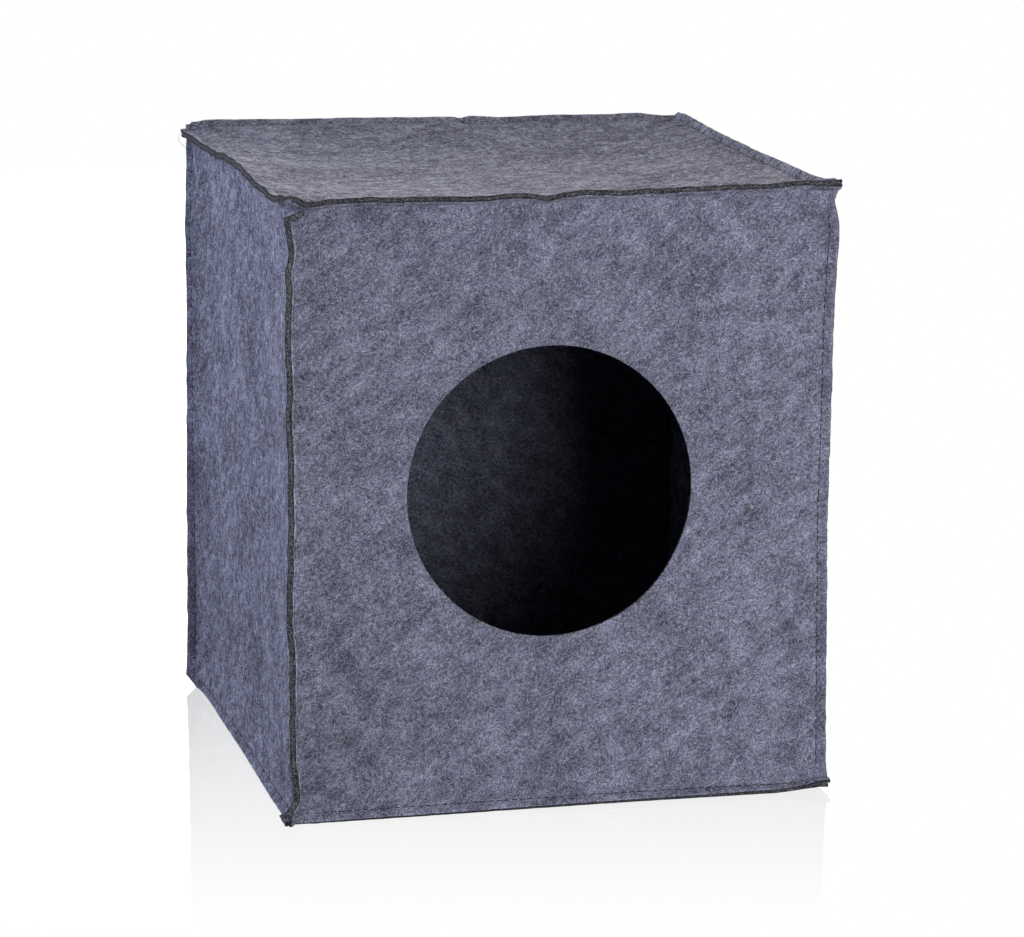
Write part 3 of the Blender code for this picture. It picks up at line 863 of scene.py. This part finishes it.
    def make(self, felt, cut_edge):
        """The closed mesh of the sheet, with its flat pattern as a UV map."""
        shape = self.across.shape
        count = shape[0] * shape[1]
        index = np.arange(count).reshape(shape)
        quads = np.stack([index[:-1, :-1], index[:-1, 1:], index[1:, 1:], index[1:, :-1]], -1)
        cells = quads[self.felt]
        a, b = self.cut_run(quads).T
        inside, outside = self.inside.reshape(-1, 3), self.outside.reshape(-1, 3)
        points = np.concatenate([inside, outside, self.cut_middle(inside, outside, a, b)])
        faces = np.concatenate([
            cells[:, ::-1],
            cells + count,
            np.stack([b + count, a + count, a + 2 * count, b + 2 * count], -1),
            np.stack([b + 2 * count, a + 2 * count, a, b], -1),
        ])
        across, along = np.tile(self.across.ravel(), 3), np.tile(self.along.ravel(), 3)
        at_entrance = (across[a] > INLAND) & (across[a] < self.width - INLAND)
        at_entrance &= (along[a] > INLAND) & (along[a] < self.length - INLAND)
        cut_slot = np.where(at_entrance, 0, 1)
        slots = np.concatenate([np.zeros(2 * len(cells), int), cut_slot, cut_slot])
        rim = np.tile(self.edge_shades().ravel(), 3)
        for end in (a, b):
            rim[end[~at_entrance] + count] = 1.0
        used, faces = np.unique(faces, return_inverse=True)
        faces = faces.reshape(-1, 4)
        mesh = bpy.data.meshes.new(f"felt_{self.name}")
        mesh.from_pydata(points[used].tolist(), [], faces.tolist())
        mesh.polygons.foreach_set("material_index", slots.astype(np.int32))
        mesh.polygons.foreach_set("use_smooth", np.ones(len(faces), bool))
        layer = mesh.uv_layers.new(name="flat")
        pattern = np.stack([across[used], along[used]], -1)[faces.ravel()]
        pattern = pattern + PATTERN_SHIFT * (self.seed % 17)
        layer.data.foreach_set("uv", pattern.astype(np.float32).ravel())
        layer = mesh.attributes.new("rim", "FLOAT", "POINT")
        layer.data.foreach_set("value", rim[used].astype(np.float32))
        mesh.materials.append(felt)
        mesh.materials.append(cut_edge)
        mesh.update()
        mesh.set_sharp_from_angle(angle=SHARP_ANGLE)
        obj = bpy.data.objects.new(f"felt_{self.name}", mesh)
        bpy.context.scene.collection.objects.link(obj)
        return obj


class Wire:
    """A value in a node tree. Arithmetic on it adds Math nodes."""

    def __init__(self, bench, socket):
        self.bench = bench
        self.socket = socket

    def maths(self, operation, *values, clamp=False):
        settings = {"operation": operation, "use_clamp": clamp}
        return self.bench.node("ShaderNodeMath", settings, values)

    def __add__(self, other):
        return self.maths("ADD", self, other)

    def __radd__(self, other):
        return self.maths("ADD", other, self)

    def __sub__(self, other):
        return self.maths("SUBTRACT", self, other)

    def __rsub__(self, other):
        return self.maths("SUBTRACT", other, self)

    def __mul__(self, other):
        return self.maths("MULTIPLY", self, other)

    def __rmul__(self, other):
        return self.maths("MULTIPLY", other, self)

    def __truediv__(self, other):
        return self.maths("DIVIDE", self, other)

    def __rtruediv__(self, other):
        return self.maths("DIVIDE", other, self)

    def __pow__(self, other):
        return self.maths("POWER", self, other)

    def __abs__(self):
        return self.maths("ABSOLUTE", self)

    def at_least(self, other):
        return self.maths("MAXIMUM", self, other)

    def clamp(self):
        return self.maths("ADD", self, 0.0, clamp=True)


class Bench:
    """A node tree that is being wired."""

    def __init__(self, tree):
        self.tree = tree
        for node in list(tree.nodes):
            tree.nodes.remove(node)

    def node(self, kind, settings=None, values=(), output=0):
        """Adds a node: its settings first, then its sockets' values or links, by order or by name."""
        node = self.tree.nodes.new(kind)
        for name, value in (settings or {}).items():
            if name == "stops":
                while len(node.color_ramp.elements) < len(value):
                    node.color_ramp.elements.new(0.5)
                for element, (place, colour) in zip(node.color_ramp.elements, value):
                    element.position = place
                    element.color = (*colour, 1.0)
            else:
                setattr(node, name, value)
        pairs = values.items() if isinstance(values, dict) else enumerate(values)
        for name, value in pairs:
            socket = node.inputs[name]
            if isinstance(value, Wire):
                self.tree.links.new(value.socket, socket)
            else:
                socket.default_value = value
        return Wire(self, node.outputs[output]) if len(node.outputs) else None

    def vector(self, operation, *values):
        return self.node("ShaderNodeVectorMath", {"operation": operation}, values)

    def scaled(self, vector, factor):
        return self.node("ShaderNodeVectorMath", {"operation": "SCALE"}, {"Vector": vector, "Scale": factor})

    def specks(self, scale):
        """Fine noise in the space of the object, at this many specks a metre."""
        place = self.node("ShaderNodeTexCoord", {}, (), output=3)
        return self.node("ShaderNodeTexNoise", {}, {"Vector": place, "Scale": scale, "Detail": 1.0})

    def ramp(self, stops, tone):
        return self.node("ShaderNodeValToRGB", {"stops": stops}, (tone,))

    def rim(self):
        """1 at the outer rim of a cut edge, its seam's shade on the rest of the edge, 0 elsewhere."""
        return self.node("ShaderNodeAttribute", {"attribute_name": "rim"}, (), output=2)

    def cloth(self, colour, roughness, specular, relief, depth, height, sheen=0.0):
        """The material's surface: matt cloth with a relief of this strength and depth in metres."""
        bump = self.node("ShaderNodeBump", {}, {"Strength": relief, "Distance": depth, "Height": height})
        values = {"Base Color": colour, "Roughness": roughness, "Specular IOR Level": specular}
        values |= {"Sheen Weight": sheen, "Sheen Roughness": 0.5, "Normal": bump}
        shader = self.node("ShaderNodeBsdfPrincipled", {}, values)
        self.node("ShaderNodeOutputMaterial", {}, {"Surface": shader})


def new_material(name):
    """An empty material, and the bench to wire it on."""
    material = bpy.data.materials.new(name)
    material.use_nodes = True
    return material, Bench(material.node_tree)


def felt_wiring(bench):
    """Base colour and height of needled felt, on the sheet's flat pattern."""
    flat = bench.node("ShaderNodeUVMap", {"uv_map": "flat"})

    def noise(vector, scale, detail=2.0, roughness=0.5, output=0):
        values = {"Vector": vector, "Scale": scale, "Detail": detail, "Roughness": roughness}
        return bench.node("ShaderNodeTexNoise", {"noise_dimensions": "2D"}, values, output)

    swirl = bench.vector("SUBTRACT", noise(flat, 190.0, 1.0, output=1), (0.5, 0.5, 0.5))
    bent = bench.vector("ADD", flat, bench.scaled(swirl, 0.0045))

    def drawn(degrees, length, width, shift=0.0):
        """The bent pattern, drawn out one way."""
        turn = (0.0, 0.0, math.radians(degrees))
        values = {"Vector": bent, "Location": (shift, -shift, 0.0), "Rotation": turn}
        values["Scale"] = (length, width, 1.0)
        return bench.node("ShaderNodeMapping", {"vector_type": "TEXTURE"}, values)

    def fibres(degrees, length, width, shift):
        """Thin wandering lines that run one way, 0 between them and 1 on them."""
        value = noise(drawn(degrees, length, width, shift), 1.0, 1.0)
        return (1 - abs(value - 0.5) * 8.0).clamp()

    light = dark = None
    for k, degrees in enumerate((-8, 38, 97)):
        one = fibres(degrees, 0.0036, 0.00095, 0.37 * k)
        two = fibres(degrees + 27, 0.0034, 0.00085, 0.53 * k + 2.1)
        light = one if light is None else light.at_least(one)
        dark = two if dark is None else dark.at_least(two)
    clumps = noise(drawn(31, 0.0023, 0.0016), 1.0, 2.0, 0.6)
    mottle = noise(drawn(38, 0.0140, 0.0080), 1.0, 2.0, 0.6)
    specks = noise(flat, 1150.0, 2.0, 0.6)
    tufts = noise(bent, 240.0, 2.0, 0.55)
    cloud = noise(flat, 24.0)
    grazing = bench.node("ShaderNodeLayerWeight", {}, {"Blend": 0.5}, output=1)
    # The fibres' own pattern; the parts scaled by grazing are painted shade of the fibres' relief, stronger
    # where the felt turns away
    tone = (
        (clumps - 0.5) * 0.72
        + (tufts - 0.5) * grazing * 0.62
        + (specks - 0.5) * 0.85
        + (mottle - 0.5) * 0.42
        + (cloud - 0.5) * 0.22
        + light * 0.12
        - dark * 0.17
    )
    shade = (tone * (FELT_CONTRAST * (grazing * 0.5 + 0.92)) + FELT_LIFT).clamp()
    colour = bench.ramp(FELT_COLOURS, shade)
    warm = ((noise(flat, 140.0, 1.0) - 0.5) * 2.4 + 0.40).clamp()
    grey = bench.node(
        "ShaderNodeMix",
        {"data_type": "RGBA", "blend_type": "MULTIPLY"},
        {"Factor": warm, 6: colour, 7: WARM_TINT},
        output=2,
    )
    # Painted sheen: the base colour is made paler where the felt turns away from the view
    painted_grazing_sheen = (grazing - 0.62).at_least(0.0) * 2.2 + 1.0
    height = clumps * 0.5 + specks * 0.4 + light * 0.4 - dark * 0.25
    # Painted highlight: the felt is made lighter along its cut edges, by the rim attribute
    return bench.scaled(grey, painted_grazing_sheen * (bench.rim() * 0.3 + 1.0)), height


def make_felt():
    """Grey needled felt: clouded, with lighter and darker fibres, a painted sheen that makes it paler where
    it turns away, and a painted highlight along its cut edges.
    """
    material, bench = new_material("grey_felt")
    colour, height = felt_wiring(bench)
    bench.cloth(colour, 0.92, 0.12, 0.35, 0.0006, height, sheen=0.04)
    return material


def make_cut_edge():
    """The sheared edge, darker than the faces, with the ends of its fibres as specks."""
    material, bench = new_material("cut_felt_edge")
    specks = bench.specks(1000.0)
    patches = bench.specks(210.0)
    # Darker by the rim attribute towards the outer rim and along some seams; along bottom_front this is
    # painted shadow
    tone = ((specks - 0.5) * 2.6 + (patches - 0.5) * 0.6 + 0.55 - bench.rim() ** 2 * 0.75).clamp()
    bench.cloth(bench.ramp(EDGE_COLOURS, tone), 0.95, 0.1, 0.6, 0.0005, specks)
    return material


def make_thread():
    """Twisted polyester: dark navy grey with the twist as fine light bands."""
    material, bench = new_material("sewing_thread")
    twist = bench.specks(2600.0)
    bench.cloth(bench.ramp(THREAD_COLOURS, twist), 0.75, 0.12, 0.5, 0.0002, twist)
    return material


def stitch_tree():
    """A node group that lays one stitch of thread on each point, along the seam and flat on the felt."""
    tree = bpy.data.node_groups.new("Lay stitches", "GeometryNodeTree")
    face = tree.interface
    face.new_socket("Geometry", in_out="INPUT", socket_type="NodeSocketGeometry")
    for name, value in STITCH_SIZES:
        socket = face.new_socket(name, in_out="INPUT", socket_type="NodeSocketFloat")
        socket.default_value = value
    seed = face.new_socket("Seed", in_out="INPUT", socket_type="NodeSocketInt")
    seed.default_value = 0
    face.new_socket("Thread material", in_out="INPUT", socket_type="NodeSocketMaterial")
    face.new_socket("Geometry", in_out="OUTPUT", socket_type="NodeSocketGeometry")

    bench = Bench(tree)
    given = {socket.name: Wire(bench, socket) for socket in tree.nodes.new("NodeGroupInput").outputs}
    half = given["Stitch length"] * STITCH_HALF
    dip = given["End dip"] * -1.0
    start = bench.node("ShaderNodeCombineXYZ", {}, {"X": half * -1.0, "Z": dip})
    middle = bench.node("ShaderNodeCombineXYZ", {}, {"Z": given["End dip"] * STITCH_ARCH})
    end = bench.node("ShaderNodeCombineXYZ", {}, {"X": half, "Z": dip})
    bend = {"Resolution": 5, "Start": start, "Middle": middle, "End": end}
    arc = bench.node("GeometryNodeCurveQuadraticBezier", {}, bend)
    radius = given["Thread diameter"] * 0.5
    ring = {"Resolution": THREAD_SIDES, "Radius": radius}
    ring = bench.node("GeometryNodeCurvePrimitiveCircle", {}, ring)
    tube = {"Curve": arc, "Profile Curve": ring, "Fill Caps": True}
    tube = bench.node("GeometryNodeCurveToMesh", {}, tube)
    along, up = (
        bench.node("GeometryNodeInputNamedAttribute", {"data_type": "FLOAT_VECTOR"}, {"Name": name})
        for name in ("along", "up")
    )
    axes = {"primary_axis": "X", "secondary_axis": "Z"}
    turn = bench.node("FunctionNodeAxesToRotation", axes, {"Primary Axis": along, "Secondary Axis": up})
    points = bench.node("GeometryNodeMeshToPoints", {}, {"Mesh": given["Geometry"]})
    spread = {2: STITCH_SPREAD[0], 3: STITCH_SPREAD[1], "Seed": given["Seed"]}
    stretch = bench.node("FunctionNodeRandomValue", {"data_type": "FLOAT"}, spread, output=1)
    size = bench.node("ShaderNodeCombineXYZ", {}, {"X": stretch, "Y": 1.0, "Z": 1.0})
    laid = {"Points": points, "Instance": tube, "Rotation": turn, "Scale": size}
    laid = bench.node("GeometryNodeInstanceOnPoints", {}, laid)
    real = bench.node("GeometryNodeRealizeInstances", {}, {"Geometry": laid})
    coloured = {"Geometry": real, "Material": given["Thread material"]}
    finished = bench.node("GeometryNodeSetMaterial", {}, coloured)
    bench.node("NodeGroupOutput", {}, (finished,))
    return tree


def settle(obj):
    """Turns what the modifiers make of an object into its plain mesh."""
    graph = bpy.context.evaluated_depsgraph_get()
    made = bpy.data.meshes.new_from_object(obj.evaluated_get(graph))
    obj.modifiers.clear()
    obj.data = made
    return obj


def lay_stitches(name, places, out, tree, thread, seed, height):
    """A row of stitches between needle holes, as one piece."""
    middles = (places[1:] + places[:-1]) / 2
    along = unit(places[1:] - places[:-1])
    up = unit(out[1:] + out[:-1])
    middles = middles + up * (THREAD * height)
    mesh = bpy.data.meshes.new(name)
    mesh.from_pydata(middles.tolist(), [], [])
    for label, values in (("along", along), ("up", up)):
        attribute = mesh.attributes.new(label, "FLOAT_VECTOR", "POINT")
        attribute.data.foreach_set("vector", values.astype(np.float32).ravel())
    obj = bpy.data.objects.new(name, mesh)
    bpy.context.scene.collection.objects.link(obj)
    modifier = obj.modifiers.new("Stitches", "NODES")
    modifier.node_group = tree
    inputs = {item.name: item.identifier for item in tree.interface.items_tree if item.in_out == "INPUT"}
    for label, value in (*STITCH_SIZES, ("Seed", seed), ("Thread material", thread)):
        modifier[inputs[label]] = value
    obj.update_tag()
    bpy.context.view_layer.update()
    settle(obj)
    obj.data.polygons.foreach_set("use_smooth", np.ones(len(obj.data.polygons), bool))
    return obj


def add_thread_tail(piece, course, radius):
    """Joins a loose end of thread to a row of stitches."""
    course = [Vector(point) for point in course]
    angles = [2 * math.pi / THREAD_SIDES * n for n in range(THREAD_SIDES)]
    shape = bmesh.new()
    shape.from_mesh(piece.data)
    rings = []
    for k, point in enumerate(course):
        ahead = (course[min(k + 1, len(course) - 1)] - course[max(k - 1, 0)]).normalized()
        side = ahead.cross(BACK).normalized()
        over = ahead.cross(side)
        spokes = [math.cos(a) * side + math.sin(a) * over for a in angles]
        rings.append([shape.verts.new(point + radius * spoke) for spoke in spokes])
    for first, second in zip(rings, rings[1:]):
        for n in range(THREAD_SIDES):
            m = (n + 1) % THREAD_SIDES
            shape.faces.new((first[n], first[m], second[m], second[n])).smooth = True
    shape.faces.new(rings[0][::-1])
    shape.faces.new(rings[-1])
    shape.to_mesh(piece.data)
    shape.free()


def make_camera():
    """The camera where the photograph was taken from."""
    data = bpy.data.cameras.new("camera")
    data.sensor_width = SENSOR
    data.sensor_fit = "HORIZONTAL"
    data.lens = SENSOR * FOCAL_SHARE
    data.clip_end = 100
    camera = bpy.data.objects.new("camera", data)
    ahead = Vector((
        math.sin(CAMERA_YAW) * math.cos(CAMERA_PITCH),
        math.cos(CAMERA_YAW) * math.cos(CAMERA_PITCH),
        -math.sin(CAMERA_PITCH),
    ))
    level = Vector((math.cos(CAMERA_YAW), -math.sin(CAMERA_YAW), 0))
    above = level.cross(ahead)
    right = math.cos(CAMERA_ROLL) * level + math.sin(CAMERA_ROLL) * above
    top = right.cross(ahead)
    matrix = Matrix((right, top, -ahead)).transposed().to_4x4()
    matrix.translation = Vector(CAMERA_PLACE)
    camera.matrix_world = matrix
    bpy.context.scene.collection.objects.link(camera)
    bpy.context.scene.camera = camera
    return camera


def add_light(name, azimuth, elevation, distance, size, strength, colour):
    """A soft box that faces the house, at degrees to the right of its front and above the ground.

    Its strength is what reaches the house from it, whatever its distance.
    """
    data = bpy.data.lights.new(name, "AREA")
    data.shape = "RECTANGLE"
    data.size, data.size_y = size
    data.color = colour
    data.energy = strength * math.pi ** 2 * distance ** 2
    light = bpy.data.objects.new(name, data)
    a, e = math.radians(azimuth), math.radians(elevation)
    target = Vector((0, 0, HEIGHT / 2))
    back = Vector((math.sin(a) * math.cos(e), -math.cos(a) * math.cos(e), math.sin(e)))
    light.location = target + distance * back
    light.rotation_euler = back.to_track_quat("Z", "Y").to_euler()
    bpy.context.scene.collection.objects.link(light)
    return light


def light_studio():
    """The soft boxes, and a white world that the camera sees but that lights the house only a little."""
    for name, values in SOFT_BOXES.items():
        add_light(name, *values)
    world = bpy.data.worlds.new("studio")
    world.use_nodes = True
    bpy.context.scene.world = world
    bench = Bench(world.node_tree)
    camera_ray = bench.node("ShaderNodeLightPath", {}, (), output=0)
    glossy_ray = bench.node("ShaderNodeLightPath", {}, (), output=3)
    seen = camera_ray.at_least(glossy_ray)
    heading = bench.node("ShaderNodeTexCoord", {}, (), output=0)
    split = bench.node("ShaderNodeSeparateXYZ", {}, (heading,), output=2)
    ambient = (split * WORLD_SLOPE + WORLD_LIGHT).clamp()
    strength = seen + (1 - seen) * ambient
    background = bench.node("ShaderNodeBackground", {}, {"Color": (1, 1, 1, 1), "Strength": strength})
    bench.node("ShaderNodeOutputWorld", {}, {"Surface": background})


def make_floor():
    """A plain pale floor that mirrors the foot of the house faintly, less and less to the front."""
    mesh = bpy.data.meshes.new("studio_floor")
    corners = [(FLOOR_HALF * x, FLOOR_HALF * y, 0) for x, y in ((-1, -1), (1, -1), (1, 1), (-1, 1))]
    mesh.from_pydata(corners, [], [(0, 1, 2, 3)])
    floor = bpy.data.objects.new("studio_floor", mesh)
    bpy.context.scene.collection.objects.link(floor)
    material, bench = new_material("pale_floor")
    place = bench.node("ShaderNodeTexCoord", {}, (), output=3)
    x = bench.node("ShaderNodeSeparateXYZ", {}, (place,), output=0)
    y = bench.node("ShaderNodeSeparateXYZ", {}, (place,), output=1)
    ahead = x * math.sin(CAMERA_YAW) + y * math.cos(CAMERA_YAW) + CAMERA_BACK
    fade = ((ahead - MIRROR_START) / MIRROR_RUN).clamp() ** MIRROR_CURVE
    glow = bench.node("ShaderNodeEmission", {}, {"Color": (1, 1, 1, 1), "Strength": 1.0})
    # The floor throws less light back onto the left wall
    bounce = ((x + 0.12) * 8.0).clamp() * 0.65 + 0.15
    dull = bench.node("ShaderNodeBsdfDiffuse", {}, {"Color": bounce})
    gloss = bench.node("ShaderNodeBsdfGlossy", {}, {"Color": (1, 1, 1, 1), "Roughness": 0.02})
    camera_ray = bench.node("ShaderNodeLightPath", {}, (), output=0)
    seen = bench.node("ShaderNodeMixShader", {}, (fade * MIRROR_SHARE, glow, gloss))
    mixed = bench.node("ShaderNodeMixShader", {}, (camera_ray, dull, seen))
    bench.node("ShaderNodeOutputMaterial", {}, {"Surface": mixed})
    mesh.materials.append(material)
    return floor


def build_house():
    """The six panels, and a row of stitches on both sides of each seam."""
    seams = {name: Seam(name, 40 * k + 3) for k, name in enumerate(SEAMS)}
    joined = [set(seam.panels) for seam in seams.values()]
    felt = make_felt()
    cut_edge = make_cut_edge()
    thread = make_thread()
    tree = stitch_tree()
    panels = {name: Panel(name, seams, 5 * k + 1) for k, name in enumerate(PANELS)}
    for name, panel in panels.items():
        piece = panel.make(felt, cut_edge)
        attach(piece, "root")
        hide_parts(f"{name}_panel")
        flat = (FLAT_WIDTH, FLAT_WIDTH if name in ("top", "bottom") else FLAT_WALL_HEIGHT)
        area = flat[0] * flat[1]
        if name == "front":
            area -= math.pi * ENTRANCE_RADIUS ** 2
        neighbours = [f"{other}_panel" for other in PANELS if {name, other} in joined]
    number = 0
    for name, seam in seams.items():
        height = SUNK_THREAD_HEIGHT if name in SUNK_SEAMS else THREAD_HEIGHT
        for side, row in zip(seam.panels, ("needle", "bobbin")):
            places, out = panels[side].stitch_holes(seam)
            number += 1
            stitches = lay_stitches(f"{row}_stitches_{name}", places, out, tree, thread, number, height)
            if name == "back_left" and row == "needle":
                add_thread_tail(stitches, LOOSE_THREAD, TAIL_RADIUS)
            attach(stitches, "root")
            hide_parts(f"{row}_thread_{name}")


bpy.context.scene.view_settings.view_transform = "Standard"
make_camera()
light_studio()
make_floor()
build_house()
